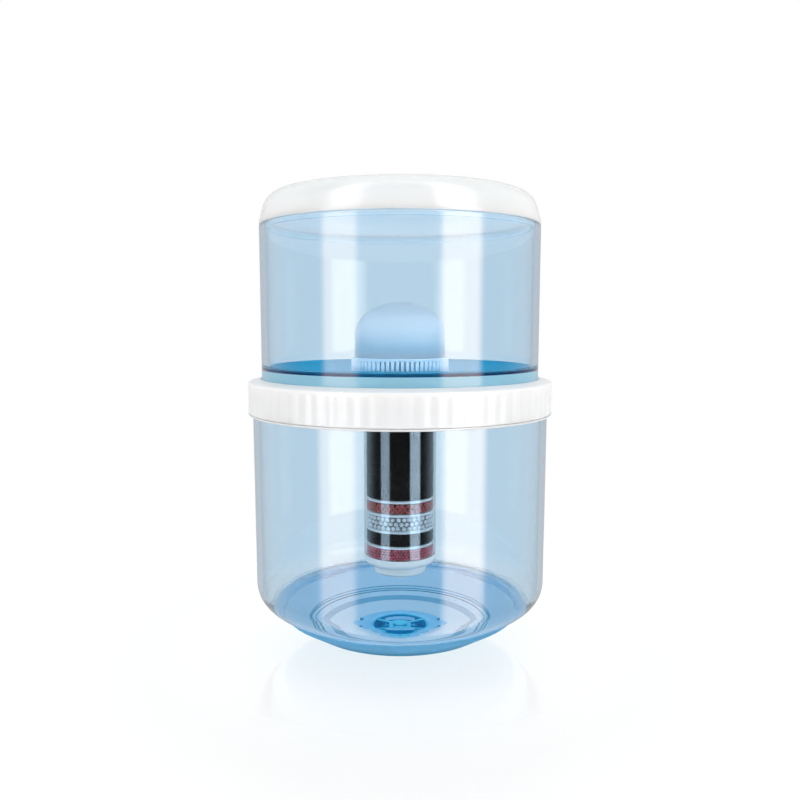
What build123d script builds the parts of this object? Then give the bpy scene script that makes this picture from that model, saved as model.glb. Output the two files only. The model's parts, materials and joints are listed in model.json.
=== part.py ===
from build123d import *
import math
import os

os.makedirs("parts", exist_ok=True)

# Sizes are in millimetres. Z is up from the face that the purifier stands on, and the axis is X = Y = 0.

# Fits
running_gap = 0.35  # between pieces that lift, slide or turn past each other
rest_gap = 0.3  # below a piece that can be lifted off
bed_gap = 0.1  # around a filter bed in its tube
thread_gap = 0.2  # around a screwed or plugged piece
guide_gap = 0.06  # around the sliding outlet pin
shaft_gap = 0.5  # around the stud in the tank floor

# Lower tank
lower_radius = 141.0  # outside, where the wall meets the rounded corner
mouth_flare = 1.3  # how much wider the outside is under the collar
lower_wall = 5.5
lower_height = 228.5  # standing face to the shoulder under the collar
corner_radius = 24.0
neck_wall = 3.0
neck_height = 17.7
dish_inset = 1.5  # rounded corner's inner end to the wall of the dish below it
dish_step = 8.4  # height of the dish's wall
dish_width = 24.5  # dish's wall to the ring where the floor turns shallow
dish_rise = 14.9  # that ring to the dish's wall
bowl_rise = 16.4  # standing face to that ring
floor_wall = 4.5
foot_width = 7.0
foot_margin = 6.0  # outlet hole to the foot
foot_rise = 1.5  # underside of the outlet land above the standing face
land_margin = 2.0  # flat land outside the foot's edge
ring_spaces = 7  # even spaces between the land and the outermost ring
ring_step = 1.0
second_ring_step = 1.1
band_step = 0.9

# Bayonet between collar and lower tank
lug_count = 4
lug_start = 45.0  # where the first lug stands, round the axis
lug_angle = 18.0
lug_height = 4.0
lug_inset = 0.1  # lug's face inside the tank's outside
hook_height = 3.4
hook_lift = 0.75  # shoulder to the underside of a hook
stop_angle = 2.0
root = 1.0  # how far a hook or stop reaches into the piece that carries it

# Joint collar
skirt_wall = 3.95
collar_drop = 1.5  # how far the skirt reaches below the shoulder
collar_rise = 6.5  # shelf to the outer top edge
collar_lip_rise = 3.2  # outer top edge to the inner lip
collar_edge = 2.0  # rounding of the outer edges
shelf_thickness = 4.0
shelf_width = 9.5  # shelf under the upper tank's edge
sleeve_depth = 8.0
sleeve_wall = 3.0
rib_count = 72
groove_width = 5.6
groove_depth = 0.9
groove_margin = 2.6  # plain band above and below the grooves
gasket_thickness = 1.5
gasket_width = 5.0

# Upper tank
upper_inset = 3.3  # lower tank's neck to the outside of the upper tank's edge
upper_flare = 0.5  # how much wider the outside is at the lid
upper_wall = 6.0
upper_height = 151.4  # bottom edge to the rim
upper_floor_rise = 18.9  # bottom edge to the floor's top at the wall
upper_floor_dish = 6.2  # floor's top at the wall to the floor's top in the middle
upper_floor = 2.4
seat_margin = 8.5  # flat seat outside the dome's base

# Lid
lid_height = 31.7
lid_crown = 1.1  # top in the middle above the top at the edge
lid_wall = 3.0
lid_rim = 3.0
lid_draft = 7.4  # how far the side leans in, up to the top
lid_corner_radius = 19.3
lid_skirt_depth = 4.0
lid_skirt_wall = 3.2

# Ceramic dome and its base
dome_radius = 43.8
dome_wall = 7.0
dome_side = 22.0
dome_cap = 31.0
dome_shoulder = 25.0  # radius between side and top
dome_ledge = 3.7  # dome's side to the outside of its base
dome_base_height = 14.0
dome_base_wall = 3.0
dome_plate = 2.4
dome_base_lift = 0.4
slot_count = 64
slot_width = 1.9
slot_lift = 0.8
slot_band = 0.2  # slots' top to the plate
stud_radius = 9.6
stud_bore = 4.0
stud_length = 32.6
hub_radius = 15.0
washer_radius = 22.0
washer_thickness = 2.6

# Cartridge
tube_radius = 35.6
tube_wall = 1.8
head_plate = 4.0
head_skirt = 12.0
head_skirt_wall = 1.8
boss_radius = 20.0
boss_height = 10.1
pad_thickness = 2.7
carbon_height = 98.2
red_upper_height = 10.5
white_height = 13.4
carbon_lower_height = 12.6
red_lower_height = 10.8
end_cap_height = 9.0
end_cap_floor = 2.2
end_cap_round = 5.0
drip_holes = 12
drip_radius = 1.8
drip_circle = 15.0
strainer_radius = 25.6
strainer_height = 9.9
strainer_wall = 2.0
strainer_round = 3.0
strainer_slots = 8
strainer_slot_width = 2.4
strainer_slot_length = 9.0
strainer_slot_circle = 14.0

# Outlet valve
port_radius = 15.0
seat_plate = 2.6
cup_lift = 0.5  # cup's underside above the standing face
seal_margin = 1.0  # port's edge to the seal, and the seal to the poppet's edge
seal_width = 4.0
seal_thickness = 0.8
poppet_thickness = 1.8
poppet_travel = 4.0
pin_radius = 7.0
pin_rise = 1.4  # pin above its guide, when shut
water_gap = 5.7  # poppet's edge to the cage
cage_wall = 2.6
cage_guide = 4.0
cage_arm = 3.4
cage_top = 2.2
window_angle = 70.0
barrel_wall = 9.3
flange_width = 11.7  # barrel to the flange's edge
flange_face = 9.0  # flat part of the flange
flange_thickness = 2.0
valve_gasket_thickness = 1.2
valve_gasket_inset = 1.0  # gasket's edge inside the flange's edge
notch_count = 3
notch_start = 30.0
notch_width = 7.0
notch_depth = 5.5

# Heights that follow from the sizes above
shoulder_z = lower_height
neck_top_z = shoulder_z + neck_height
mouth_gasket_z = neck_top_z + rest_gap
shelf_z = mouth_gasket_z + gasket_thickness
shelf_top_z = shelf_z + shelf_thickness
upper_bottom_z = shelf_top_z + gasket_thickness + rest_gap
upper_floor_z = upper_bottom_z + upper_floor_rise
seat_z = upper_floor_z - upper_floor_dish
upper_rim_z = upper_bottom_z + upper_height
lid_z = upper_rim_z + rest_gap
collar_bottom_z = shoulder_z - collar_drop
collar_edge_z = shelf_top_z + collar_rise
collar_lip_z = collar_edge_z + collar_lip_rise

# Radii that follow from the sizes above
lower_mouth_radius = lower_radius + mouth_flare
neck_inner = lower_mouth_radius - lower_wall
neck_outer = neck_inner + neck_wall
lug_radius = lower_mouth_radius - lug_inset
skirt_inner = lower_mouth_radius + running_gap
collar_radius = skirt_inner + skirt_wall
hook_radius = neck_outer + running_gap
upper_base_radius = neck_inner - upper_inset
upper_radius = upper_base_radius + upper_flare
shelf_inner = upper_base_radius - shelf_width
upper_inner = upper_radius - upper_wall
upper_base_inner = upper_base_radius - upper_wall
collar_inner = upper_base_radius + running_gap + upper_flare * (collar_lip_z - upper_bottom_z) / upper_height
dome_base_radius = dome_radius + dome_ledge
seat_radius = dome_base_radius + seat_margin
seal_inner = port_radius + seal_margin
seal_outer = seal_inner + seal_width
poppet_radius = seal_outer + seal_margin
cage_inner = poppet_radius + water_gap
cage_outer = cage_inner + cage_wall
well_radius = cage_outer + thread_gap
barrel_radius = well_radius + barrel_wall
barrel_hole = barrel_radius + thread_gap
flange_radius = barrel_radius + flange_width
foot_inner = barrel_hole + foot_margin
foot_outer = foot_inner + foot_width
land_edge = foot_outer + land_margin


def turned(inner, outer, bottom, top):
    """Add a plain ring to the part being built."""
    with BuildSketch(Plane.XZ) as section:
        with Locations(((inner + outer) / 2, (bottom + top) / 2)):
            Rectangle(outer - inner, top - bottom)
    revolve(section.sketch, axis=Axis.Z)


def sector(inner, outer, bottom, top, middle, width):
    """Add a block that follows the ring between two radii, round the angle middle."""
    with BuildSketch(Plane.XZ) as section:
        with Locations(((inner + outer) / 2, (bottom + top) / 2)):
            Rectangle(outer - inner, top - bottom)
    start = Rot(0, 0, middle - width / 2)
    revolve([start * face for face in section.sketch.faces()], axis=Axis.Z, revolution_arc=width)


# Lower tank: neck, straight wall, rounded corner, stepped dish, ringed floor and flat land at the outlet
corner_centre = lower_radius - corner_radius
inner_corner = corner_radius - lower_wall
half_turn = math.radians(45)
dish_radius = corner_centre - dish_inset
ring_radius = dish_radius - dish_width
dish_height = bowl_rise + dish_rise
corner_bottom = dish_height + dish_step
corner_height = corner_bottom + corner_radius
dish_thickness = floor_wall / math.cos(math.atan2(dish_rise, dish_width))
dish_inner = dish_radius - floor_wall
dish_inner_z = dish_height + dish_thickness - floor_wall * dish_rise / dish_width
inner_ring_z = bowl_rise + dish_thickness
ring_pitch = (ring_radius - land_edge) / ring_spaces
second_ring_radius = ring_radius - ring_pitch
band_outer = second_ring_radius - ring_pitch
band_inner = band_outer - ring_pitch
land_height = floor_wall


def bowl(radius):
    """Height of the shallow bowl's top, without its steps."""
    return floor_wall + bowl_rise * (radius - foot_outer) / (ring_radius - foot_outer)


with BuildPart() as lower_tank:
    with BuildSketch(Plane.XZ):
        with BuildLine():
            under = Polyline(
                (barrel_hole, foot_rise),
                (foot_inner, foot_rise),
                (foot_inner, 0),
                (foot_outer, 0),
                (ring_radius, bowl_rise),
                (dish_radius, dish_height),
                (dish_radius, corner_bottom),
                (corner_centre, corner_bottom),
            )
            corner = ThreePointArc(
                under @ 1,
                (
                    corner_centre + corner_radius * math.sin(half_turn),
                    corner_height - corner_radius * math.cos(half_turn),
                ),
                (lower_radius, corner_height),
            )
            wall = Polyline(
                corner @ 1,
                (lower_mouth_radius, shoulder_z),
                (neck_outer, shoulder_z),
                (neck_outer, neck_top_z),
                (neck_inner, neck_top_z),
                (neck_inner, shoulder_z),
                (lower_radius - lower_wall, corner_height),
            )
            inside = ThreePointArc(
                wall @ 1,
                (
                    corner_centre + inner_corner * math.sin(half_turn),
                    corner_height - inner_corner * math.cos(half_turn),
                ),
                (corner_centre, corner_height - inner_corner),
            )
            Polyline(
                inside @ 1,
                (dish_inner, dish_inner_z),
                (ring_radius, inner_ring_z),
                (ring_radius, inner_ring_z - ring_step),
                (second_ring_radius, bowl(second_ring_radius)),
                (second_ring_radius, bowl(second_ring_radius) - second_ring_step),
                (band_outer, bowl(band_outer) - band_step),
                (band_inner, bowl(band_inner) - 2 * band_step),
                (land_edge, land_height),
                (barrel_hole, land_height),
                (barrel_hole, foot_rise),
            )
        make_face()
    revolve(axis=Axis.Z)
    lug_bottom = shoulder_z + hook_lift + hook_height + running_gap
    for number in range(lug_count):
        turn = lug_start + 360 / lug_count * number
        sector(neck_outer - neck_wall / 2, lug_radius, lug_bottom, lug_bottom + lug_height, turn, lug_angle)
        sector(
            neck_outer - neck_wall / 2,
            lug_radius,
            shoulder_z - root,
            lug_bottom + lug_height,
            turn - lug_angle / 2 - stop_angle / 2,
            stop_angle,
        )
lower_tank.part.label = "lower_tank"
export_step(lower_tank.part, "parts/lower_tank.step")

# Joint collar: ribbed skirt over the neck, sleeve in the mouth, shelf and lip for the upper tank
sleeve_outer = neck_inner - running_gap
hook_top = lug_bottom - running_gap
hook_turn = math.degrees(running_gap / lower_mouth_radius)
scallop_radius = (groove_width**2 / 4 + groove_depth**2) / (2 * groove_depth)

with BuildPart() as joint_collar:
    with BuildSketch(Plane.XZ) as collar_section:
        with BuildLine():
            Polyline(
                (skirt_inner, collar_bottom_z),
                (collar_radius, collar_bottom_z),
                (collar_radius, collar_edge_z),
                (collar_inner, collar_lip_z),
                (collar_inner, shelf_top_z),
                (shelf_inner, shelf_top_z),
                (shelf_inner, shelf_z),
                (sleeve_outer - sleeve_wall, shelf_z),
                (sleeve_outer - sleeve_wall, shelf_z - sleeve_depth),
                (sleeve_outer, shelf_z - sleeve_depth),
                (sleeve_outer, shelf_z),
                (skirt_inner, shelf_z),
                (skirt_inner, collar_bottom_z),
            )
        make_face()
        fillet(collar_section.vertices().group_by(Axis.X)[-1], collar_edge)
    revolve(axis=Axis.Z)
    with BuildSketch(Plane.XY.offset(collar_bottom_z + groove_margin)):
        with PolarLocations(collar_radius - groove_depth + scallop_radius, rib_count):
            Circle(scallop_radius)
    extrude(amount=collar_edge_z - collar_bottom_z - 2 * groove_margin, mode=Mode.SUBTRACT)
    for number in range(lug_count):
        turn = lug_start + 360 / lug_count * number
        sector(
            hook_radius,
            skirt_inner + root,
            hook_top - hook_height,
            hook_top,
            turn + hook_turn,
            lug_angle - 2 * hook_turn,
        )
joint_collar.part.label = "joint_collar"
export_step(joint_collar.part, "parts/joint_collar.step")

with BuildPart() as mouth_gasket:
    turned(neck_inner, neck_outer, mouth_gasket_z, shelf_z)
mouth_gasket.part.label = "mouth_gasket"
export_step(mouth_gasket.part, "parts/mouth_gasket.step")

with BuildPart() as tank_gasket:
    turned(upper_base_radius - gasket_width, upper_base_radius, shelf_top_z, shelf_top_z + gasket_thickness)
tank_gasket.part.label = "tank_gasket"
export_step(tank_gasket.part, "parts/tank_gasket.step")

# Upper tank: straight wall and a dished floor with a flat seat and the stud's hole
stud_hole = stud_radius + shaft_gap

with BuildPart() as upper_tank:
    with BuildSketch(Plane.XZ):
        with BuildLine():
            Polyline(
                (upper_base_inner, upper_bottom_z),
                (upper_base_radius, upper_bottom_z),
                (upper_radius, upper_rim_z),
                (upper_inner, upper_rim_z),
                (upper_base_inner, upper_floor_z),
                (seat_radius, seat_z),
                (stud_hole, seat_z),
                (stud_hole, seat_z - upper_floor),
                (seat_radius, seat_z - upper_floor),
                (upper_base_inner, upper_floor_z - upper_floor),
                (upper_base_inner, upper_bottom_z),
            )
        make_face()
    revolve(axis=Axis.Z)
upper_tank.part.label = "upper_tank"
export_step(upper_tank.part, "parts/upper_tank.step")

# Lid: rim ring on the tank's edge, locating skirt inside it and a domed shell
lid_skirt_outer = upper_inner - running_gap - lid_skirt_depth * upper_flare / upper_height


def lid_side(height):
    """Radius of the lid's leaning side, at a height above its seat."""
    return upper_radius - lid_draft * (height - lid_rim) / (lid_height - lid_crown - lid_rim)


lid_top = lid_height - lid_crown
lid_ceiling = lid_top - lid_wall
lid_corner = (lid_side(lid_top), lid_z + lid_top)
lid_inner_corner = (lid_side(lid_ceiling) - lid_wall, lid_z + lid_ceiling)

with BuildPart() as lid:
    with BuildSketch(Plane.XZ) as lid_section:
        with BuildLine():
            Polyline(
                (upper_radius, lid_z),
                (upper_radius, lid_z + lid_rim),
                lid_corner,
                (0, lid_z + lid_height),
                (0, lid_z + lid_height - lid_wall),
                lid_inner_corner,
                (upper_radius - lid_wall, lid_z + lid_rim),
                (lid_skirt_outer - lid_skirt_wall, lid_z + lid_rim),
                (lid_skirt_outer - lid_skirt_wall, lid_z - lid_skirt_depth),
                (lid_skirt_outer, lid_z - lid_skirt_depth),
                (lid_skirt_outer, lid_z),
                (upper_radius, lid_z),
            )
        make_face()
        fillet(lid_section.vertices().sort_by_distance(lid_corner)[0], lid_corner_radius)
        fillet(lid_section.vertices().sort_by_distance(lid_inner_corner)[0], lid_corner_radius - lid_wall)
    revolve(axis=Axis.Z)
lid.part.label = "lid"
export_step(lid.part, "parts/lid.step")

# Ceramic dome on its slotted base, whose hollow stud passes through the tank floor
base_z = seat_z + dome_base_lift
plate_z = base_z + dome_base_height - dome_plate
dome_z = plate_z + dome_plate
hub_z = seat_z + washer_thickness
stud_end_z = dome_z - dome_plate - stud_length

with BuildPart() as dome_base:
    with BuildSketch(Plane.XZ):
        with BuildLine():
            Polyline(
                (stud_bore, stud_end_z),
                (stud_radius, stud_end_z),
                (stud_radius, hub_z),
                (hub_radius, hub_z),
                (hub_radius, plate_z),
                (dome_base_radius - dome_base_wall, plate_z),
                (dome_base_radius - dome_base_wall, base_z),
                (dome_base_radius, base_z),
                (dome_base_radius, dome_z),
                (stud_bore, dome_z),
                (stud_bore, stud_end_z),
            )
        make_face()
    revolve(axis=Axis.Z)
    with BuildSketch(Plane.XY.offset(base_z + slot_lift)):
        with PolarLocations(dome_base_radius - dome_base_wall / 2, slot_count):
            Rectangle(2 * dome_base_wall, slot_width)
    extrude(amount=plate_z - slot_band - base_z - slot_lift, mode=Mode.SUBTRACT)
dome_base.part.label = "dome_base"
export_step(dome_base.part, "parts/dome_base.step")

with BuildPart() as dome_washer:
    turned(stud_radius + thread_gap, washer_radius, seat_z, hub_z)
dome_washer.part.label = "dome_washer"
export_step(dome_washer.part, "parts/dome_washer.step")

dome_spring_z = dome_z + dome_side


def dome_outline(inset):
    """Draw the dome's side, shoulder and top, moved inward by inset, and return both ends."""
    radius = dome_radius - inset
    rise = dome_cap - inset
    shoulder = dome_shoulder - inset
    reach = radius - shoulder
    top_radius = (reach**2 + rise**2 - shoulder**2) / (2 * (rise - shoulder))
    side = Line((radius, dome_z), (radius, dome_spring_z))
    turn = math.degrees(math.atan2(top_radius - rise, reach))
    bend = JernArc(start=side @ 1, tangent=(0, 1), radius=shoulder, arc_size=turn)
    top = TangentArc(bend @ 1, (0, dome_spring_z + rise), tangent=bend % 1)
    return side @ 0, top @ 1


with BuildPart() as ceramic_dome:
    with BuildSketch(Plane.XZ):
        with BuildLine():
            outer_foot, outer_top = dome_outline(0)
            inner_foot, inner_top = dome_outline(dome_wall)
            Line(outer_foot, inner_foot)
            Line(outer_top, inner_top)
        make_face()
    revolve(axis=Axis.Z)
ceramic_dome.part.label = "ceramic_dome"
export_step(ceramic_dome.part, "parts/ceramic_dome.step")

# Cartridge: head screwed on the stud below the floor, clear tube, beds and pads, end cap and strainer
floor_under_z = seat_z - upper_floor
head_top_z = floor_under_z - washer_thickness
head_plate_z = head_top_z - boss_height
tube_top_z = head_plate_z - head_plate
tube_inner = tube_radius - tube_wall
bed_radius = tube_inner - bed_gap
head_inner = tube_radius + thread_gap

with BuildPart() as floor_washer:
    turned(stud_radius + thread_gap, washer_radius, head_top_z, floor_under_z)
floor_washer.part.label = "floor_washer"
export_step(floor_washer.part, "parts/floor_washer.step")

with BuildPart() as cartridge_head:
    with BuildSketch(Plane.XZ):
        with BuildLine():
            Polyline(
                (stud_radius + thread_gap, head_top_z),
                (boss_radius, head_top_z),
                (boss_radius, head_plate_z),
                (head_inner + head_skirt_wall, head_plate_z),
                (head_inner + head_skirt_wall, tube_top_z - head_skirt),
                (head_inner, tube_top_z - head_skirt),
                (head_inner, tube_top_z),
                (stud_radius + thread_gap, tube_top_z),
                (stud_radius + thread_gap, head_top_z),
            )
        make_face()
    revolve(axis=Axis.Z)
cartridge_head.part.label = "cartridge_head"
export_step(cartridge_head.part, "parts/cartridge_head.step")

stud_below_head = max(tube_top_z - stud_end_z, 0)
pad_top_z = tube_top_z - stud_below_head - pad_thickness
layers = [
    ("carbon_bed_main", carbon_height),
    ("pad_below_carbon", pad_thickness),
    ("red_ball_bed_upper", red_upper_height),
    ("pad_below_red", pad_thickness),
    ("white_ball_bed", white_height),
    ("pad_below_white", pad_thickness),
    ("carbon_bed_lower", carbon_lower_height),
    ("pad_below_black", pad_thickness),
    ("red_ball_bed_lower", red_lower_height),
]

with BuildPart() as pad_top:
    turned(0, bed_radius, pad_top_z, pad_top_z + pad_thickness)
pad_top.part.label = "pad_top"
export_step(pad_top.part, "parts/pad_top.step")

layer_z = pad_top_z
for layer_name, layer_height in layers:
    with BuildPart() as layer:
        turned(0, bed_radius, layer_z - layer_height, layer_z)
    layer.part.label = layer_name
    export_step(layer.part, "parts/" + layer_name + ".step")
    layer_z = layer_z - layer_height
tube_end_z = layer_z

with BuildPart() as cartridge_tube:
    turned(tube_inner, tube_radius, tube_end_z, tube_top_z)
cartridge_tube.part.label = "cartridge_tube"
export_step(cartridge_tube.part, "parts/cartridge_tube.step")

with BuildPart() as pad_bottom:
    turned(0, bed_radius, tube_end_z - pad_thickness, tube_end_z)
pad_bottom.part.label = "pad_bottom"
export_step(pad_bottom.part, "parts/pad_bottom.step")

cap_z = tube_end_z - end_cap_height
cap_floor_z = tube_end_z - pad_thickness

with BuildPart() as cartridge_end_cap:
    with BuildSketch(Plane.XZ) as cap_section:
        with BuildLine():
            Polyline(
                (0, cap_z),
                (tube_radius, cap_z),
                (tube_radius, tube_end_z),
                (tube_inner, tube_end_z),
                (tube_inner, cap_floor_z),
                (strainer_radius - strainer_wall, cap_floor_z),
                (strainer_radius - strainer_wall, cap_z + end_cap_floor),
                (0, cap_z + end_cap_floor),
                (0, cap_z),
            )
        make_face()
        fillet(cap_section.vertices().group_by(Axis.Y)[0].sort_by(Axis.X)[-1], end_cap_round)
    revolve(axis=Axis.Z)
    with BuildSketch(Plane.XY.offset(cap_z)):
        with PolarLocations(drip_circle, drip_holes):
            Circle(drip_radius)
    extrude(amount=end_cap_floor, mode=Mode.SUBTRACT)
cartridge_end_cap.part.label = "cartridge_end_cap"
export_step(cartridge_end_cap.part, "parts/cartridge_end_cap.step")

strainer_z = cap_z - strainer_height

with BuildPart() as outlet_strainer:
    with BuildSketch(Plane.XZ) as strainer_section:
        with BuildLine():
            Polyline(
                (0, strainer_z),
                (strainer_radius, strainer_z),
                (strainer_radius, cap_z),
                (strainer_radius - strainer_wall, cap_z),
                (strainer_radius - strainer_wall, strainer_z + strainer_wall),
                (0, strainer_z + strainer_wall),
                (0, strainer_z),
            )
        make_face()
        fillet(strainer_section.vertices().group_by(Axis.Y)[0].sort_by(Axis.X)[-1], strainer_round)
    revolve(axis=Axis.Z)
    with BuildSketch(Plane.XY.offset(strainer_z)):
        with PolarLocations(strainer_slot_circle, strainer_slots):
            SlotOverall(strainer_slot_length, strainer_slot_width)
    extrude(amount=strainer_wall, mode=Mode.SUBTRACT)
outlet_strainer.part.label = "outlet_strainer"
export_step(outlet_strainer.part, "parts/outlet_strainer.step")

# Outlet valve: cup screwed into the floor, gasket, poppet with its pin and seal, and the pin's guide cage
flange_z = land_height + valve_gasket_thickness
flange_top_z = flange_z + flange_thickness
seat_plate_z = cup_lift + seat_plate
poppet_z = seat_plate_z + seal_thickness
poppet_top_z = poppet_z + poppet_thickness
arm_z = poppet_top_z + poppet_travel + running_gap
cage_top_z = arm_z + cage_top
pin_top_z = cage_top_z + pin_rise

with BuildPart() as valve_gasket:
    turned(barrel_hole, flange_radius - valve_gasket_inset, land_height, flange_z)
valve_gasket.part.label = "valve_gasket"
export_step(valve_gasket.part, "parts/valve_gasket.step")

with BuildPart() as valve_cup:
    with BuildSketch(Plane.XZ):
        with BuildLine():
            Polyline(
                (port_radius, cup_lift),
                (barrel_radius, cup_lift),
                (barrel_radius, flange_z),
                (flange_radius, flange_z),
                (flange_radius, flange_top_z),
                (flange_radius - flange_face, flange_top_z),
                (well_radius, flange_z),
                (well_radius, seat_plate_z),
                (port_radius, seat_plate_z),
                (port_radius, cup_lift),
            )
        make_face()
    revolve(axis=Axis.Z)
    with BuildSketch(Plane.XY.offset(flange_z)):
        with PolarLocations(flange_radius, notch_count, start_angle=notch_start):
            Rectangle(2 * notch_depth, notch_width)
    extrude(amount=flange_thickness, mode=Mode.SUBTRACT)
valve_cup.part.label = "valve_cup"
export_step(valve_cup.part, "parts/valve_cup.step")

with BuildPart() as poppet_seal:
    turned(seal_inner, seal_outer, seat_plate_z, poppet_z)
poppet_seal.part.label = "poppet_seal"
export_step(poppet_seal.part, "parts/poppet_seal.step")

with BuildPart() as valve_poppet:
    turned(0, poppet_radius, poppet_z, poppet_top_z)
    turned(0, pin_radius, poppet_top_z, pin_top_z)
valve_poppet.part.label = "valve_poppet"
export_step(valve_poppet.part, "parts/valve_poppet.step")

guide_inner = pin_radius + guide_gap
guide_outer = guide_inner + cage_guide
leg_angle = 360 / notch_count - window_angle

with BuildPart() as valve_cage:
    turned(cage_inner, cage_outer, arm_z, cage_top_z)
    turned(guide_inner, guide_outer, arm_z, cage_top_z)
    arm_start = guide_outer - cage_guide / 2
    arm_end = cage_outer - cage_wall / 2
    with BuildSketch(Plane.XY.offset(arm_z)):
        with PolarLocations((arm_start + arm_end) / 2, notch_count, start_angle=notch_start):
            Rectangle(arm_end - arm_start, cage_arm)
    extrude(amount=cage_top)
    for number in range(notch_count):
        turn = notch_start + 360 / notch_count * number
        sector(cage_inner, cage_outer, seat_plate_z, arm_z, turn, leg_angle)
valve_cage.part.label = "valve_cage"
export_step(valve_cage.part, "parts/valve_cage.step")
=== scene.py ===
import json
import math
import random

import bpy
import bmesh
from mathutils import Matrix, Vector


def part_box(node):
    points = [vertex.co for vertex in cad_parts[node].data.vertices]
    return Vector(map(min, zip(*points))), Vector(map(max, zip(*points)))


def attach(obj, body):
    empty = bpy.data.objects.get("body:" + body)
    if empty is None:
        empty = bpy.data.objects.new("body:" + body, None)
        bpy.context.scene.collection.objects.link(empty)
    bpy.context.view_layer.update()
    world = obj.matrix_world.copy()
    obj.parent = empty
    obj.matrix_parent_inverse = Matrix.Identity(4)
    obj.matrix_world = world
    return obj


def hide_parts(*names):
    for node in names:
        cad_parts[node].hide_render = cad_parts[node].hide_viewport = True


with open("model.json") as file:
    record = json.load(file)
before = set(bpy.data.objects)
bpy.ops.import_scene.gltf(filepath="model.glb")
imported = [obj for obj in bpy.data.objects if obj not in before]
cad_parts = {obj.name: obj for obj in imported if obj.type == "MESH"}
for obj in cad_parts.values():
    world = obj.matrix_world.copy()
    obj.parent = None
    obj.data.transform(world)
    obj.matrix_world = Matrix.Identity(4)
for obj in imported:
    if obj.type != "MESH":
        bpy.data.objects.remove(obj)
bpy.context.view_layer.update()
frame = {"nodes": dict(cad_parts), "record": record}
scene = bpy.context.scene

# Sizes are in metres, in the frame of the solids: Z up from the standing face, the axis at X = Y = 0

# Camera
camera_place = (0, -0.7937, 0.3168)
camera_pitch = 5.62  # degrees below level
camera_lens = 36.51  # millimetres
camera_sensor = 36  # millimetres

# Roundings that several pieces share, from sharp to soft
hairline = 0.0002
crisp = 0.0004
fine = 0.0006
eased = 0.0008
soft = 0.0012

# Upper tank
upper_wall = 0.006
upper_flare = 0.0005
upper_floor_rise = 0.0189
upper_floor_dish = 0.0062
upper_floor = 0.0024
upper_foot_round = 0.0016
upper_floor_round = 0.002
seat_radius = 0.056
seat_round = 0.006
stud_hole = 0.0101
stud_margin = 0.001  # clear plastic left round the stud's hole
foot_frost = 0.6  # share of frost on the band below the floor
foot_frost_end = 0.0004  # height over which that band ends
wall_reach = 0.0005  # from a wall, for a point to count as on it
floor_reach = 0.0008  # below the floor's top, for a point to count as on it

# Lower tank
lower_wall = 0.0055
mouth_flare = 0.0013
shoulder_height = 0.2285
shoulder_round = 0.004
corner_radius = 0.024
inner_corner_radius = 0.0205
neck_wall = 0.003
dish_inset = 0.0015
dish_step = 0.0084
dish_width = 0.0245
dish_rise = 0.0149
dish_round = 0.003
bowl_rise = 0.0164
floor_wall = 0.0045
foot_inner = 0.045
foot_outer = 0.052
foot_rise = 0.0015
foot_round = 0.002
land_edge = 0.054
land_round = 0.001
outlet_hole = 0.039
ring_step = 0.0008
ring_round = 0.0005
step_round = 0.0003
second_ring_radius = 0.0855
second_ring_step = 0.0009
band_outer = 0.079
band_inner = 0.074
band_step = 0.0012
band_depth = 0.85  # share of the painted shade colour on the band
edge_line = 0.001  # painted shade line on the underside, along the edge between bowl and dish
edge_fade = 0.0006
line_reach = 0.00015  # from a ring or the band, for a point to count as on it
band_reach = 0.0001
face_reach = 0.001  # from the underside or the corner, for a point to count as on it
frost_margin = 0.0004
frost_reach = 0.12  # share of the corner's radius over which the frost ends

# Joint collar
skirt_inner = 0.14265
collar_lip_radius = 0.13388
collar_lip_rise = 0.0032
collar_edge = 0.002
shelf_inner = 0.124
shelf_bottom = 0.248
shelf_top = 0.252
shelf_round = 0.001
sleeve_outer = 0.13645
sleeve_wall = 0.003
sleeve_depth = 0.008
rib_count = 72
steps_per_rib = 10
groove_depth = 0.0007
groove_margin = 0.0022
groove_fade = 0.0022
groove_fade_parts = 4

# Bayonet
lug_count = 4
lug_start = 45  # degrees
lug_angle = 18  # degrees
lug_parts = 6
lug_height = 0.004
lug_bottom = 0.233
lug_radius = 0.1422
hook_radius = 0.14015
hook_bottom = 0.22925
hook_top = 0.23265
hook_root = 0.001  # how far a hook reaches into the skirt

# Lid
lid_rim = 0.003
lid_rim_round = 0.008
lid_crown = 0.0011
lid_wall = 0.003
lid_draft = 0.0074
lid_corner_radius = 0.0193
lid_skirt_depth = 0.004
lid_skirt_wall = 0.0032
lid_skirt_gap = 0.0004

# Ceramic dome and its base
dome_wall = 0.007
dome_cap = 0.031
dome_shoulder = 0.025
dome_parts = 12
base_wall = 0.003
base_plate = 0.0024
base_top_round = 0.0007
base_height = 0.014
slot_count = 64
slot_width = 0.0014
slot_lift = 0.0008
post_root = 0.0002  # how far a post between two slots reaches into the plate
stud_radius = 0.0096
stud_bore = 0.004
hub_radius = 0.015

# Cartridge
tube_wall = 0.0018
bead_gap = 0.0004  # balls and granules to the tube's bore
red_ball_upper = 0.0046
red_ball_lower = 0.003
white_ball = 0.0049
granule = 0.0022
balls = (2, 2, 0.0)  # fineness of each, layers, unevenness
granules = (1, 1, 0.3)
row_pitch = 0.88  # of rows and layers, as shares of a ball's size
layer_pitch = 0.8
turn_stray = 0.12  # how far a ball strays round, out and up, and in its size
out_stray = (-0.06, 0.02)
lift_stray = 0.08
size_stray = (0.96, 1.02)
pad_ragged = 0.00005
pad_waves = (3, 7, 13, 23)
pad_wave_size = (0.2, 1)
pad_rounding = 0.3  # share of a pad's thickness
head_boss = 0.02
head_bore = 0.0098
head_plate = 0.004
head_plate_round = 0.001
head_boss_height = 0.0101
head_skirt_wall = 0.0018
head_skirt_round = 0.0005
head_ribs = 60
steps_per_head_rib = 8
head_rib_depth = 0.0004
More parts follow.
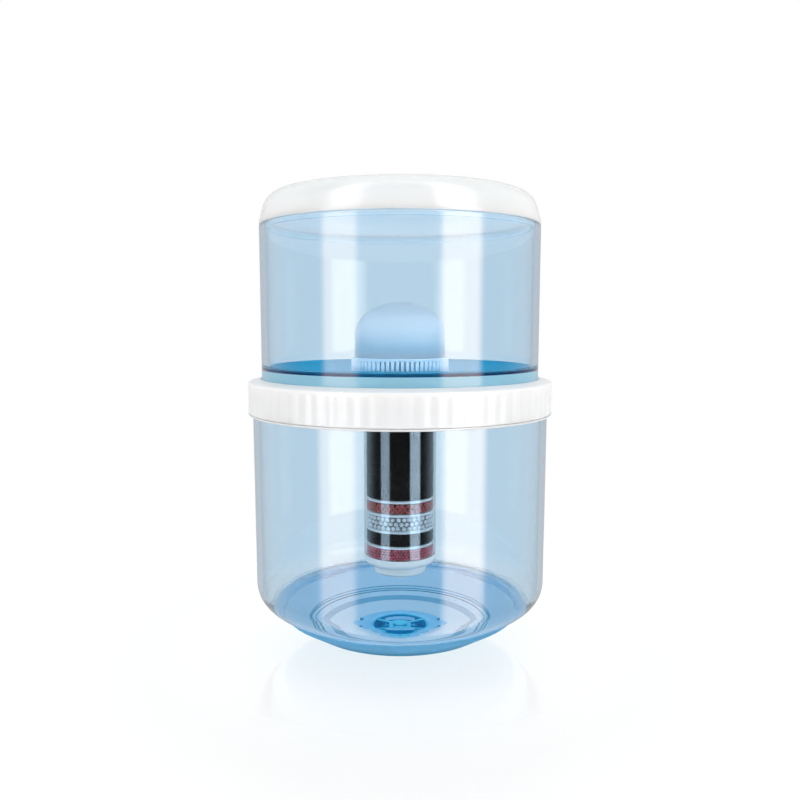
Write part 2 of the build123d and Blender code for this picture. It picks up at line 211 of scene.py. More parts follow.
head_rib_face = 0.0002  # from the skirt's outside, for a point to take part in the ribs
head_rib_margin = 0.001  # plain band below the plate

# Washers and gaskets
washer_bore = 0.0098
tank_gasket_width = 0.005
valve_gasket_width = 0.0105
seal_width = 0.004
ring_rounding = 0.35  # share of a ring's thickness

# Fineness of the meshes
steps_round = 192
steps_small = 128
steps_core = 64
soft_turn = math.radians(7.5)  # largest turn between two points of a wide arc
wide_arc = 0.003
small_arc_parts = 4
longest_hold = 0.0006  # straight run kept beside an arc
on_axis = 1e-7

# Finish of the tanks and the tube
tank_color = (0.84, 0.912, 0.96)
# Painted shade on the tanks where they are seen edge-on
tank_edge_shade = (0.16, 0.36, 0.58)
tank_glint = (1.0, 0.68, 0.45)
tank_ior = 1.49
tube_ior = 1.68
absorb_color = (0.16, 0.5, 0.72)
absorb_density = 26
edge_shade_facing = (0.76, 1.0)  # between which the painted edge shade comes in, from 0 face-on to 1 edge-on
upper_frost = ((0.0, 0.48, 0.72), 0.2, 0.5)  # colour, what still shines through, share that is full
lower_frost = ((0.6, 0.84, 0.98), 0.5, 1)
frost_roughness = 0.9
frost_matt = (0.75, 1)  # shares of frost between which a face turns rough
painted_shade_color = (0.02, 0.36, 0.56)
low_color = (0.2, 0.6, 0.91)
low_line = (bowl_rise + 0.002, bowl_rise + 0.011)  # heights between which the painted shade's darkest colour turns to low
low_top = bowl_rise + dish_rise + dish_step
low_end = (low_top - 0.001, low_top + 0.001)  # heights between which low turns to frost

# Finish of the other pieces
noise_span = (0.3, 0.7)  # what most of a noise lies between
underside_light_facing = (0.05, 0.2)  # how far down a face looks for the painted light on the underside
shade_facing = (0.3, 0.8)  # how far up or down a face looks for the lit top's colour rather than the painted shade of the sides
gap_deep = 0.42  # depths behind the front of a ball, as shares of its size, over which the painted shade of the gaps fades out
gap_near = 0.16
speck_scale = 420
speck_span = (0.3, 0.75)
speck_dark = 0.88
speck_light = 1.03

# Floor
floor_radius = 0.42
floor_thickness = 0.002
floor_steps = 96
floor_gap = 0.0002
floor_color = (0.18, 0.14, 0.13)
floor_white = (0.77, 0.81, 0.82)
floor_blue = (0.28, 0.55, 0.86)
floor_below = (0.11, 0.13)  # radii between which the blue below the tank ends
floor_bounce = 0.6
floor_near = 0.03  # roughness at the object
floor_far = 0.5
floor_blur = (0.14, 0.26)  # radii between which near turns to far
floor_rim = (0.24, 0.38)  # radii between which the floor gains light
floor_rim_gain = 0.06

# Light
strip_left = (-63, -34)  # degrees round the object, right of the front when positive
strip_right = (33, 67)
strip_soft = 4
strip_left_level = 4
strip_right_level = 5.4
strip_inner = 0.85
mirror_front = 0.04
mirror_back = 0.7
mirror_turn = (math.radians(75), math.radians(125))  # between which front turns to back
mirror_sky = 0.95
sky_outside = (0.85, 0.99)  # how steep a direction is when a mirror shows the sky
sky_inside = (0.25, 0.55)  # the same for what is mirrored inside the plastic
sky_rise = (-0.2, 0.9)
sky_level = 1.1
side_level = 1.05
right_gain = 0.1
inner_count = 3  # faces passed before a ray counts as deep in the plastic
tube_count = 6  # faces passed before a ray counts as inside the tube
inside_level = 2.75
tube_level = 3.8


# Meshes


def add_mesh(name, points, faces, body, material, nodes=(), marks=None):
    """Make a smooth piece from points and faces, ride it on a body and let it stand for CAD nodes.

    marks may name functions that give a point's share of a finish, by its radius and height.
    """
    mesh = bpy.data.meshes.new(name)
    mesh.from_pydata(points, [], faces)
    mesh.validate()
    mesh.shade_smooth()
    mesh.materials.append(material)
    for mark, share_at in (marks or {}).items():
        share = mesh.attributes.new(mark, "FLOAT", "POINT")
        for entry, (x, y, z) in zip(share.data, points):
            entry.value = share_at(math.hypot(x, y), z)
    piece = bpy.data.objects.new(name, mesh)
    scene.collection.objects.link(piece)
    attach(piece, body)
    if nodes:
        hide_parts(*nodes)
    return piece


def smooth(share):
    """Hold a share between 0 and 1 and ease it at both ends."""
    share = min(1, max(0, share))
    return share * share * (3 - 2 * share)


def rounded(corners):
    """Return a closed outline through (radius, height, rounding) corners, with arcs at the rounded ones."""
    outline = []
    for index, (radius, height, rounding) in enumerate(corners):
        here = Vector((radius, height))
        if rounding == 0:
            outline.append(here)
            continue
        back = (Vector(corners[index - 1][:2]) - here).normalized()
        ahead = (Vector(corners[(index + 1) % len(corners)][:2]) - here).normalized()
        opening = back.angle(ahead)
        reach = rounding / math.tan(opening / 2)
        centre = here + (back + ahead).normalized() * rounding / math.sin(opening / 2)
        first = here + back * reach - centre
        last = here + ahead * reach - centre
        turn = math.pi - opening
        hold = min(rounding / 3, longest_hold)
        parts = max(3, math.ceil(turn / soft_turn)) if rounding > wide_arc else small_arc_parts
        outline.append(here + back * (reach + hold))
        for part in range(parts + 1):
            share = part / parts
            before = math.sin((1 - share) * turn) / math.sin(turn)
            after = math.sin(share * turn) / math.sin(turn)
            outline.append(centre + first * before + last * after)
        outline.append(here + ahead * (reach + hold))
    return outline


def lathe(outline, steps=steps_round, shape=None):
    """Turn a closed outline round Z into points and faces.

    shape may change a point's radius, by its radius, height and angle.
    """
    points = []
    rows = []
    for radius, height in outline:
        if radius < on_axis:
            rows.append([len(points)] * steps)
            points.append((0, 0, height))
            continue
        rows.append(range(len(points), len(points) + steps))
        for number in range(steps):
            angle = 2 * math.pi * number / steps
            reach = shape(radius, height, angle) if shape else radius
            points.append((reach * math.cos(angle), reach * math.sin(angle), height))
    faces = []
    for row, above in zip(rows, rows[1:] + rows[:1]):
        for number in range(steps):
            following = (number + 1) % steps
            corners = [row[number], row[following], above[following], above[number]]
            face = list(dict.fromkeys(corners))
            if len(face) > 2:
                faces.append(face)
    return points, faces


def joined(*meshes):
    """Put several (points, faces) together as one."""
    points = []
    faces = []
    for more_points, more_faces in meshes:
        start = len(points)
        points.extend(more_points)
        faces.extend([[start + corner for corner in face] for face in more_faces])
    return points, faces


def span(node):
    """Return a turned node's outer radius, bottom and top."""
    low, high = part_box(node)
    return high.x, low.z, high.z


def block(inner, outer, bottom, top, middle, width, parts=3):
    """Return a block that follows the ring between two radii, round the angle middle."""
    points = []
    for part in range(parts + 1):
        angle = middle + width * (part / parts - 0.5)
        for radius, height in ((inner, bottom), (outer, bottom), (outer, top), (inner, top)):
            points.append((radius * math.cos(angle), radius * math.sin(angle), height))
    faces = [[0, 1, 2, 3], [4 * parts + 3, 4 * parts + 2, 4 * parts + 1, 4 * parts]]
    for part in range(parts):
        start = 4 * part
        for side in range(4):
            following = (side + 1) % 4
            faces.append([start + side, start + 4 + side, start + 4 + following, start + following])
    return points, faces


def bayonet(inner, outer, bottom, top):
    """Return the blocks of the bayonet's lugs or hooks, evenly round the axis."""
    blocks = []
    for number in range(lug_count):
        middle = math.radians(lug_start + 360 / lug_count * number)
        blocks.append(block(inner, outer, bottom, top, middle, math.radians(lug_angle), lug_parts))
    return blocks


# Nodes of the materials and the light


def new_material(name, color, roughness):
    """Start a material with its Principled shader and return the material, its tree and the shader."""
    material = bpy.data.materials.new(name)
    material.use_nodes = True
    tree = material.node_tree
    shader = tree.nodes["Principled BSDF"]
    shader.inputs["Base Color"].default_value = (*color, 1)
    shader.inputs["Roughness"].default_value = roughness
    return material, tree, shader


def set_or_link(tree, socket, value):
    """Set a socket to a number, or link it to a node's output."""
    if isinstance(value, (int, float)):
        socket.default_value = value
    else:
        tree.links.new(value, socket)


def step(tree, operation, *values):
    """Add one sum of numbers and node outputs."""
    node = tree.nodes.new("ShaderNodeMath")
    node.operation = operation
    for socket, value in zip(node.inputs, values):
        set_or_link(tree, socket, value)
    return node.outputs[0]


def flip(tree, share):
    """Return 1 less a share."""
    return step(tree, "SUBTRACT", 1, share)


def at_least(tree, depth, count):
    """Return 1 where a ray's depth has come to a count, and 0 before."""
    return step(tree, "GREATER_THAN", depth, count - 0.5)


def fade(tree, value, low, high):
    """Return 0 to 1 as a value runs smoothly from low to high."""
    ramp = tree.nodes.new("ShaderNodeMapRange")
    ramp.interpolation_type = "SMOOTHSTEP"
    ramp.inputs["From Min"].default_value = low
    ramp.inputs["From Max"].default_value = high
    tree.links.new(value, ramp.inputs["Value"])
    return ramp.outputs["Result"]


def choose(tree, factor, no, yes):
    """Run from one number to another by a factor. Each is a number or a node's output."""
    mix = tree.nodes.new("ShaderNodeMix")
    for socket, value in zip((mix.inputs[0], mix.inputs[2], mix.inputs[3]), (factor, no, yes)):
        set_or_link(tree, socket, value)
    return mix.outputs[0]


def mix_color(tree, factor, first, second):
    """Mix two colours by a factor from another node. Each colour is a tuple or a node's output."""
    mix = tree.nodes.new("ShaderNodeMix")
    mix.data_type = "RGBA"
    tree.links.new(factor, mix.inputs["Factor"])
    for socket, color in ((mix.inputs[6], first), (mix.inputs[7], second)):
        if isinstance(color, tuple):
            socket.default_value = (*color, 1)
        else:
            tree.links.new(color, socket)
    return mix.outputs[2]


def own_place(tree):
    """Return a point's place in the frame's own coordinates."""
    return tree.nodes.new("ShaderNodeTexCoord").outputs["Object"]


def split(tree, vector):
    """Return the X, Y and Z of a vector."""
    axes = tree.nodes.new("ShaderNodeSeparateXYZ")
    tree.links.new(vector, axes.inputs[0])
    return axes.outputs


def from_axis(tree):
    """Return a point's distance from the axis."""
    flat = tree.nodes.new("ShaderNodeVectorMath")
    flat.operation = "MULTIPLY"
    flat.inputs[1].default_value = (1, 1, 0)
    tree.links.new(own_place(tree), flat.inputs[0])
    reach = tree.nodes.new("ShaderNodeVectorMath")
    reach.operation = "LENGTH"
    tree.links.new(flat.outputs["Vector"], reach.inputs[0])
    return reach.outputs["Value"]


def upright(tree):
    """Return how far a surface faces up, from -1 to 1."""
    return split(tree, tree.nodes.new("ShaderNodeNewGeometry").outputs["Normal"])["Z"]


def marked(tree, mark):
    """Return a point's share of a finish, as add_mesh marked it."""
    share = tree.nodes.new("ShaderNodeAttribute")
    share.attribute_name = mark
    return share.outputs["Fac"]


def noise(tree, scale, detail=3.0):
    """Add a noise texture in the frame's own coordinates and return its value."""
    texture = tree.nodes.new("ShaderNodeTexNoise")
    texture.inputs["Scale"].default_value = scale
    texture.inputs["Detail"].default_value = detail
    tree.links.new(own_place(tree), texture.inputs["Vector"])
    return texture.outputs[0]


def add_bump(tree, shader, texture, strength, distance):
    """Drive the shader's normal from a texture."""
    bump = tree.nodes.new("ShaderNodeBump")
    bump.inputs["Strength"].default_value = strength
    bump.inputs["Distance"].default_value = distance
    tree.links.new(texture, bump.inputs["Height"])
    tree.links.new(bump.outputs["Normal"], shader.inputs["Normal"])


def vary_roughness(tree, shader, texture, roughness, swing):
    """Let a texture swing the shader's roughness to both sides."""
    ramp = tree.nodes.new("ShaderNodeMapRange")
    ramp.inputs["From Min"].default_value = noise_span[0]
    ramp.inputs["From Max"].default_value = noise_span[1]
    ramp.inputs["To Min"].default_value = roughness - swing
    ramp.inputs["To Max"].default_value = roughness + swing
    tree.links.new(texture, ramp.inputs["Value"])
    tree.links.new(ramp.outputs["Result"], shader.inputs["Roughness"])


# Materials


def white_plastic(name, color, roughness, depth, underside_light=None):
    """White plastic that lets light in as far as depth. Its last argument is a painted light: a lighter
    colour painted on what faces down, standing in for light on the shaded underside.
    """
    material, tree, shader = new_material(name, color, roughness)
    vary_roughness(tree, shader, noise(tree, scale=90), roughness, swing=0.02)
    add_bump(tree, shader, noise(tree, scale=220, detail=1), strength=0.03, distance=0.0004)
    shader.inputs["Subsurface Weight"].default_value = 1
    shader.inputs["Subsurface Radius"].default_value = (1, 1, 1)
    shader.inputs["Subsurface Scale"].default_value = depth
    # Painted light: faces that look down take a lighter colour, as if lit
    if underside_light:
        down = step(tree, "MULTIPLY", upright(tree), -1)
        tint = mix_color(tree, fade(tree, down, *underside_light_facing), color, underside_light)
        tree.links.new(tint, shader.inputs["Base Color"])
    return material


def add_frost(tree, shader, tint, frost_color, shine, full):
    """Frost a tank's marked faces and paint shade on its marked lines, and return the tint with both in it.

    From outside, the underside has colours of its own, a painted shade that is darkest at the bottom. Seen
    through the plastic it has the frost's.
    """
    shader.inputs["Specular Tint"].default_value = (*tank_glint, 1)
    share = marked(tree, "frost")
    height = split(tree, own_place(tree))["Z"]
    # Painted shade on the underside's outside: darkest at the bottom, lighter upward
    low = mix_color(tree, fade(tree, height, *low_line), painted_shade_color, low_color)
    outside = mix_color(tree, fade(tree, height, *low_end), low, frost_color)
    within = tree.nodes.new("ShaderNodeNewGeometry").outputs["Backfacing"]
    face = mix_color(tree, within, outside, frost_color)
    tint = mix_color(tree, share, tint, face)
    # Painted shade: the marked rings, band and edge line take a dark colour
    tint = mix_color(tree, marked(tree, "deep"), tint, painted_shade_color)
    through = tree.nodes.new("ShaderNodeMapRange")
    through.inputs["From Max"].default_value = full
    through.inputs["To Min"].default_value = 1
    through.inputs["To Max"].default_value = shine
    tree.links.new(share, through.inputs["Value"])
    tree.links.new(through.outputs["Result"], shader.inputs["Transmission Weight"])
    matt = step(tree, "MULTIPLY", fade(tree, share, *frost_matt), frost_roughness)
    tree.links.new(matt, shader.inputs["Roughness"])
    return tint


def clear_plastic(name, color, edge_shade, ior, density=0, frost=None):
    """Clear plastic with a painted shade where it is seen edge-on: a deeper colour standing in for the
    darker surroundings that its edges refract.

    density is how much the plastic takes from light on its way through. frost gives the frosted faces'
    colour, how much still shines through, and the share of frost that is full.
    """
    material, tree, shader = new_material(name, color, 0)
    shader.inputs["Transmission Weight"].default_value = 1
    shader.inputs["IOR"].default_value = ior
    weight = tree.nodes.new("ShaderNodeLayerWeight")
    weight.inputs["Blend"].default_value = 0.5
    # Painted shade: the colour deepens as the surface turns edge-on
    tint = mix_color(tree, fade(tree, weight.outputs["Facing"], *edge_shade_facing), color, edge_shade)
    if frost:
        tint = add_frost(tree, shader, tint, *frost)
    tree.links.new(tint, shader.inputs["Base Color"])
    if density:
        absorption = tree.nodes.new("ShaderNodeVolumeAbsorption")
        absorption.inputs["Color"].default_value = (*absorb_color, 1)
        absorption.inputs["Density"].default_value = density
        tree.links.new(absorption.outputs[0], tree.nodes["Material Output"].inputs["Volume"])
    return material


def plain(name, color, roughness, grain, strength):
    """One colour with a fine grain: ceramic, felt, silicone or solid plastic."""
    material, tree, shader = new_material(name, color, roughness)
    vary_roughness(tree, shader, noise(tree, scale=grain / 8), roughness, swing=0.06)
    add_bump(tree, shader, noise(tree, scale=grain), strength, distance=0.0003)
    return material


def tinted(name, top, side, shine):
    """Tinted plastic in lit and shaded copies of one colour: a painted light on what faces up or down, and a
    painted shade, a deeper colour, on its upright sides.
    """
    material = plain(name, top, roughness=0.2, grain=600, strength=0.03)
    tree = material.node_tree
    shader = tree.nodes["Principled BSDF"]
    # Painted light and shade: the colour follows how far a face looks up or down
    level = fade(tree, step(tree, "ABSOLUTE", upright(tree)), *shade_facing)
    tree.links.new(mix_color(tree, level, side, top), shader.inputs["Base Color"])
    shader.inputs["Transmission Weight"].default_value = shine
    return material


def loose(name, front, deep, size, roughness=0.35, specular=0.5):
    """Balls or granules behind the tube's wall: their fronts in one colour, and a painted shade, a darker
    colour, deeper in the gaps between them.
    """
    material, tree, shader = new_material(name, front, roughness)
    shader.inputs["Specular IOR Level"].default_value = specular
    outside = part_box("carbon_bed_main")[1].x - bead_gap
    # Painted shade: darker with depth behind the balls' fronts, where the gaps are shaded
    near = fade(tree, from_axis(tree), outside - gap_deep * size, outside - gap_near * size)
    speck = fade(tree, noise(tree, scale=speck_scale, detail=1), *speck_span)
    darker = tuple(speck_dark * part for part in front)
    lighter = tuple(speck_light * part for part in front)
    varied = mix_color(tree, speck, darker, lighter)
    tree.links.new(mix_color(tree, near, deep, varied), shader.inputs["Base Color"])
    return material


white = white_plastic("white_plastic", (0.92, 0.912, 0.905), roughness=0.3, depth=0.005)
# The lid's second colour is a painted light on its shaded underside
white_lid = white_plastic(
    "white_lid", (0.96, 0.82, 0.765), roughness=0.14, depth=0.012, underside_light=(0.96, 0.91, 0.9)
)
blue_upper = clear_plastic(
    "clear_blue_upper", tank_color, tank_edge_shade, tank_ior, density=absorb_density, frost=upper_frost
)
blue_lower = clear_plastic(
    "clear_blue_lower", tank_color, tank_edge_shade, tank_ior, density=absorb_density, frost=lower_frost
)
# The valve parts' top and side colours are a painted light and a painted shade
blue = tinted("clear_blue", top=(0.26, 0.68, 0.94), side=(0.02, 0.3, 0.52), shine=0.15)
teal = tinted("clear_teal", top=(0.02, 0.62, 0.88), side=(0.0, 0.32, 0.58), shine=0.2)
# The tube's second colour is the painted shade of its edges
clear = clear_plastic("clear_plastic", (0.98, 0.985, 0.99), (0.75, 0.82, 0.86), tube_ior)
dome_white = plain("ceramic", (0.7, 0.69, 0.71), roughness=0.36, grain=1800, strength=0.02)
dome_blue = plain("dome_plastic", (0.78, 0.84, 0.9), roughness=0.4, grain=1500, strength=0.08)
# The second colour of each bed is the painted shade in the gaps between its balls or granules
carbon_black = loose(
    "carbon", (0.016, 0.016, 0.017), (0.003, 0.003, 0.003), granule, roughness=0.4, specular=0.15
)
red_upper = loose("red_balls_upper", (0.62, 0.14, 0.12), (0.03, 0.005, 0.005), red_ball_upper)
red_lower = loose("red_balls_lower", (0.95, 0.2, 0.26), (0.16, 0.02, 0.03), red_ball_lower)
white_clay = loose("white_balls", (0.97, 0.97, 0.97), (0.42, 0.45, 0.48), white_ball)
felt = plain("felt", (0.93, 0.94, 0.95), roughness=0.9, grain=4000, strength=0.5)
silicone = plain("silicone", (0.8, 0.82, 0.83), roughness=0.45, grain=900, strength=0.1)
frosted = plain("frosted_plastic", (0.74, 0.68, 0.64), roughness=0.4, grain=1200, strength=0.05)

slot_materials = {
    "white_plastic": white,
    "clear_blue": blue,
    "clear_plastic": clear,
    "frosted_plastic": frosted,
    "dome_plastic": dome_blue,
    "ceramic": dome_white,
    "carbon": carbon_black,
    "red_balls": red_upper,
    "white_balls": white_clay,
    "felt": felt,
    "silicone": silicone,
}
for subpart in frame["record"]["subparts"]:
    mesh = frame["nodes"][subpart["node"]].data
    mesh.materials.clear()
    mesh.materials.append(slot_materials[subpart["material_slot"]])
for node in ("valve_cage", "valve_poppet"):
    frame["nodes"][node].data.materials[0] = teal


# Upper tank


def upper_tank():
    """Turn the upper tank, with frost on its floor and on the band below it."""
    radius, bottom, top = span("upper_tank")
    base = radius - upper_flare
    inner = base - upper_wall
    floor = bottom + upper_floor_rise
    seat = floor - upper_floor_dish
    line = floor - upper_floor
    outline = rounded(
        [
            (inner, bottom, soft),
            (base, bottom, upper_foot_round),
            (base, line - foot_frost_end, 0),
            (base, line, 0),
            (radius, top, soft),
            (radius - upper_wall, top, soft),
            (inner, floor, upper_floor_round),
            (seat_radius, seat, seat_round),
            (stud_hole, seat, crisp),
            (stud_hole, seat - upper_floor, crisp),
            (seat_radius, seat - upper_floor, seat_round),
            (inner, floor - upper_floor, upper_floor_round),
        ]
    )

    def floor_top(place, height):
        """Return the share of frost at a point."""
        if place > base - wall_reach and height < line - foot_frost_end / 2:
            return foot_frost
        level = seat + (floor - seat) * max(0, (place - seat_radius) / (inner - seat_radius))
        on_floor = stud_hole + stud_margin < place < inner - wall_reach
        return float(on_floor and height > level - floor_reach)

    piece = add_mesh(
        "upper_tank_shell",
        *lathe(outline),
        "upper",
        blue_upper,
        ["upper_tank"],
        {"frost": floor_top},
    )


# Lower tank


def lower_tank():
    """Turn the lower tank with its stepped floor, and add the lugs of its mouth."""
    mouth, foot, top = span("lower_tank")
    radius = mouth - mouth_flare
    neck_inner = mouth - lower_wall
    neck_outer = neck_inner + neck_wall
    centre = radius - corner_radius
    dish = centre - dish_inset
    ring = dish - dish_width
    bowl_slope = bowl_rise / (ring - foot_outer)
    dish_slope = dish_rise / dish_width
    dish_height = bowl_rise + dish_rise
    corner_bottom = dish_height + dish_step
    corner_top = corner_bottom + corner_radius
    thickness = floor_wall / math.cos(math.atan(dish_slope))
    dish_inner = dish - floor_wall
    dish_inner_height = dish_height + thickness - floor_wall * dish_slope
    ring_height = bowl_rise + thickness

    def bowl(place):
        """Return the height of the bowl's inside at a radius."""
        return floor_wall + bowl_slope * (place - foot_outer)

    outline = rounded(
        [
            (outlet_hole, foot_rise, crisp),
            (foot_inner, foot_rise, crisp),
            (foot_inner, foot, fine),
            (foot_outer, foot, foot_round),
            (ring - edge_fade, bowl_rise - edge_fade * bowl_slope, 0),
            (ring, bowl_rise, fine),
            (ring + edge_line, bowl_rise + edge_line * dish_slope, 0),
            (ring + edge_line + edge_fade, bowl_rise + (edge_line + edge_fade) * dish_slope, 0),
            (dish, dish_height, soft),
            (dish, corner_bottom, eased),
            (radius, corner_bottom, corner_radius),
            (mouth, shoulder_height, eased),
            (neck_outer, shoulder_height, fine),
            (neck_outer, top, eased),
            (neck_inner, top, eased),
            (neck_inner, shoulder_height, shoulder_round),
            (radius - lower_wall, corner_bottom + lower_wall, inner_corner_radius),
            (dish_inner, dish_inner_height, dish_round),
            (ring, ring_height, ring_round),
            (ring, ring_height - ring_step, step_round),
            (second_ring_radius, bowl(second_ring_radius), crisp),
            (second_ring_radius, bowl(second_ring_radius) - second_ring_step, step_round),
            (band_outer, bowl(band_outer) - band_step, fine),
            (band_inner, bowl(band_inner) - 2 * band_step, fine),
            (land_edge, floor_wall, land_round),
            (outlet_hole, floor_wall, crisp),
        ]
    )

    def underside(place, height):
        """Return the share of frost at a point: the underside, ending over the start of the corner."""
        slope = max(0, place - foot_outer) * bowl_slope
        level = slope if place < ring else bowl_rise + (place - ring) * dish_slope
        if place > foot_outer and height < level + face_reach:
            return 1.0
        out = math.hypot(max(0, place - centre), max(0, corner_top - height))
        on_face = height < corner_bottom + frost_margin or out > corner_radius - face_reach
        if place > dish - soft and on_face:
            return 1 - smooth((height - corner_bottom) / (frost_reach * corner_radius))
        return 0.0

    def lines(place, height):
        """Return the share of painted shade at a point: the edge line below, the rings and band inside."""
        edge = bowl_rise + (place - ring) * dish_slope + face_reach
        if ring - edge_fade / 2 < place and height < edge:
            return float(place < ring + edge_line + edge_fade / 2)
        on_step = min(abs(place - ring), abs(place - second_ring_radius)) < line_reach
        on_band = band_inner - band_reach < place < band_outer + band_reach
        inside = bowl(place) - 3 * band_step < height < ring_height + face_reach
        return float(on_step and inside) + band_depth * float(on_band and inside)

    lugs = bayonet(neck_outer - neck_wall / 2, lug_radius, lug_bottom, lug_bottom + lug_height)
    mesh = joined(lathe(outline), *lugs)
    piece = add_mesh(
        "lower_tank_shell",
        *mesh,
        "base",
        blue_lower,
        ["lower_tank"],
        {"frost": underside, "deep": lines},
    )


# Joint collar


def joint_collar():
    """Turn the collar with the ribs of its skirt, and add its hooks."""
    radius, bottom, lip = span("joint_collar")
    edge = lip - collar_lip_rise
    in_skirt = skirt_inner + hook_root

    def ribs(place, height, angle):
        """Return a radius with the grooves between the ribs cut into the skirt's outside."""
        if place < in_skirt:
            return place
        rise = min(height - bottom, edge - height) - groove_margin
        wave = (1 + math.cos(rib_count * angle)) / 2
        return place - groove_depth * smooth(rise / groove_fade) * wave

    fades = [groove_margin + groove_fade * part / groove_fade_parts for part in range(groove_fade_parts + 1)]
    skirt = [(radius, bottom + rise, 0) for rise in fades]
    skirt += [(radius, edge - fall, 0) for fall in reversed(fades)]
    outline = rounded(
        [
            (skirt_inner, bottom, fine),
            (radius, bottom, collar_edge),
            *skirt,
            (radius, edge, collar_edge),
            (collar_lip_radius, lip, eased),
            (collar_lip_radius, shelf_top, shelf_round),
            (shelf_inner, shelf_top, eased),
            (shelf_inner, shelf_bottom, eased),
            (sleeve_outer - sleeve_wall, shelf_bottom, eased),
            (sleeve_outer - sleeve_wall, shelf_bottom - sleeve_depth, fine),
            (sleeve_outer, shelf_bottom - sleeve_depth, fine),
            (sleeve_outer, shelf_bottom, crisp),
            (skirt_inner, shelf_bottom, eased),
        ]
    )
    hooks = bayonet(hook_radius, in_skirt, hook_bottom, hook_top)
    mesh = joined(lathe(outline, steps_per_rib * rib_count, ribs), *hooks)
    piece = add_mesh("collar_ring", *mesh, "collar", white, ["joint_collar"])


# Lid


def lid():
    """Turn the lid with its skirt inside the upper tank's rim."""
    radius, skirt_end, top = span("lid")
    seat = skirt_end + lid_skirt_depth
    crown = top - lid_crown
    ceiling = crown - lid_wall
    skirt = radius - upper_wall - lid_skirt_gap

    def side(height):
        """Return the radius of the leaning side at a height."""
        return radius - lid_draft * (height - seat - lid_rim) / (crown - seat - lid_rim)

    outline = rounded(
        [
            (radius, seat, eased),
            (radius, seat + lid_rim, lid_rim_round),
            (side(crown), crown, lid_corner_radius),
            (0, top, 0),
            (0, top - lid_wall, 0),
            (side(ceiling) - lid_wall, ceiling, lid_corner_radius - lid_wall),
            (radius - lid_wall, seat + lid_rim, crisp),
            (skirt - lid_skirt_wall, seat + lid_rim, fine),
            (skirt - lid_skirt_wall, skirt_end, eased),
            (skirt, skirt_end, eased),
            (skirt, seat, crisp),
        ]
    )
    piece = add_mesh("lid_shell", *lathe(outline), "lid", white_lid, ["lid"])


# Ceramic dome and its slotted base


def dome_curve(radius, foot, rise, shoulder):
    """Return the points of the dome's side, shoulder and top, from foot to axis."""
    reach = radius - shoulder
    crown = (reach**2 + rise**2 - shoulder**2) / (2 * (rise - shoulder))
    spring = foot - rise
    turn = math.atan2(crown - rise, reach)
    curve = []
    for part in range(dome_parts):
        angle = turn * part / dome_parts
        curve.append((reach + shoulder * math.cos(angle), spring + shoulder * math.sin(angle)))
    for part in range(dome_parts + 1):
        angle = turn + (math.pi / 2 - turn) * part / dome_parts
        curve.append((crown * math.cos(angle), spring + rise - crown + crown * math.sin(angle)))
    curve[-1] = (0, spring + rise)
    return curve


def ceramic_dome():
    """Turn the hollow ceramic dome."""
    radius, bottom, top = span("ceramic_dome")
    hollow = radius - dome_wall
    outer = dome_curve(radius, top, dome_cap, dome_shoulder)
    inner = dome_curve(hollow, top - dome_wall, dome_cap - dome_wall, dome_shoulder - dome_wall)
    outline = [*outer, *reversed(inner), (hollow, bottom), (radius, bottom)]
    piece = add_mesh("ceramic_dome_body", *lathe(outline), "upper", dome_white, ["ceramic_dome"])


def dome_base():
    """Build the dome's base: plate, hub and stud in one, a ring below, and posts between the slots."""
    radius, stud_end, top = span("dome_base")
    bottom = top - base_height
    plate = top - base_plate
    inner = radius - base_wall
    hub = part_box("dome_washer")[1].z
    body = rounded(
        [
            (stud_bore, stud_end, crisp),
            (stud_radius, stud_end, fine),
            (stud_radius, hub, crisp),
            (hub_radius, hub, fine),
            (hub_radius, plate, eased),
            (inner, plate, crisp),
            (radius, plate, hairline),
            (radius, top, base_top_round),
            (stud_bore, top, crisp),
        ]
    )
    ring = rounded(
        [
            (inner, bottom, hairline),
            (radius, bottom, hairline),
            (radius, bottom + slot_lift, hairline),
            (inner, bottom + slot_lift, hairline),
        ]
    )
    pitch = 2 * math.pi / slot_count
    post = pitch - slot_width / radius
    posts = []
    for number in range(slot_count):
        middle = pitch * (number + 0.5)
        posts.append(block(inner, radius, bottom + slot_lift / 2, plate + post_root, middle, post))
    mesh = joined(lathe(body, steps_small), lathe(ring, steps_small), *posts)
    piece = add_mesh("dome_base_ring", *mesh, "upper", dome_blue, ["dome_base"])


# Cartridge


def unit_ball(fineness):
    """Return the points and faces of a round ball of radius 1."""
    ball = bmesh.new()
    bmesh.ops.create_icosphere(ball, subdivisions=fineness, radius=1)
    points = [tuple(point.co) for point in ball.verts]
    faces = [[corner.index for corner in face.verts] for face in ball.faces]
    ball.free()
    return points, faces


def uneven_ball(draw, ball_points, centre, stretch, uneven):
    """Return a ball's points round a centre, stretched along each axis and then jolted one by one."""
    points = []
    for point in ball_points:
        jolt = 1 + draw.uniform(-uneven, uneven)
        points.append([middle + along * wide * jolt for middle, along, wide in zip(centre, point, stretch)])
    return points


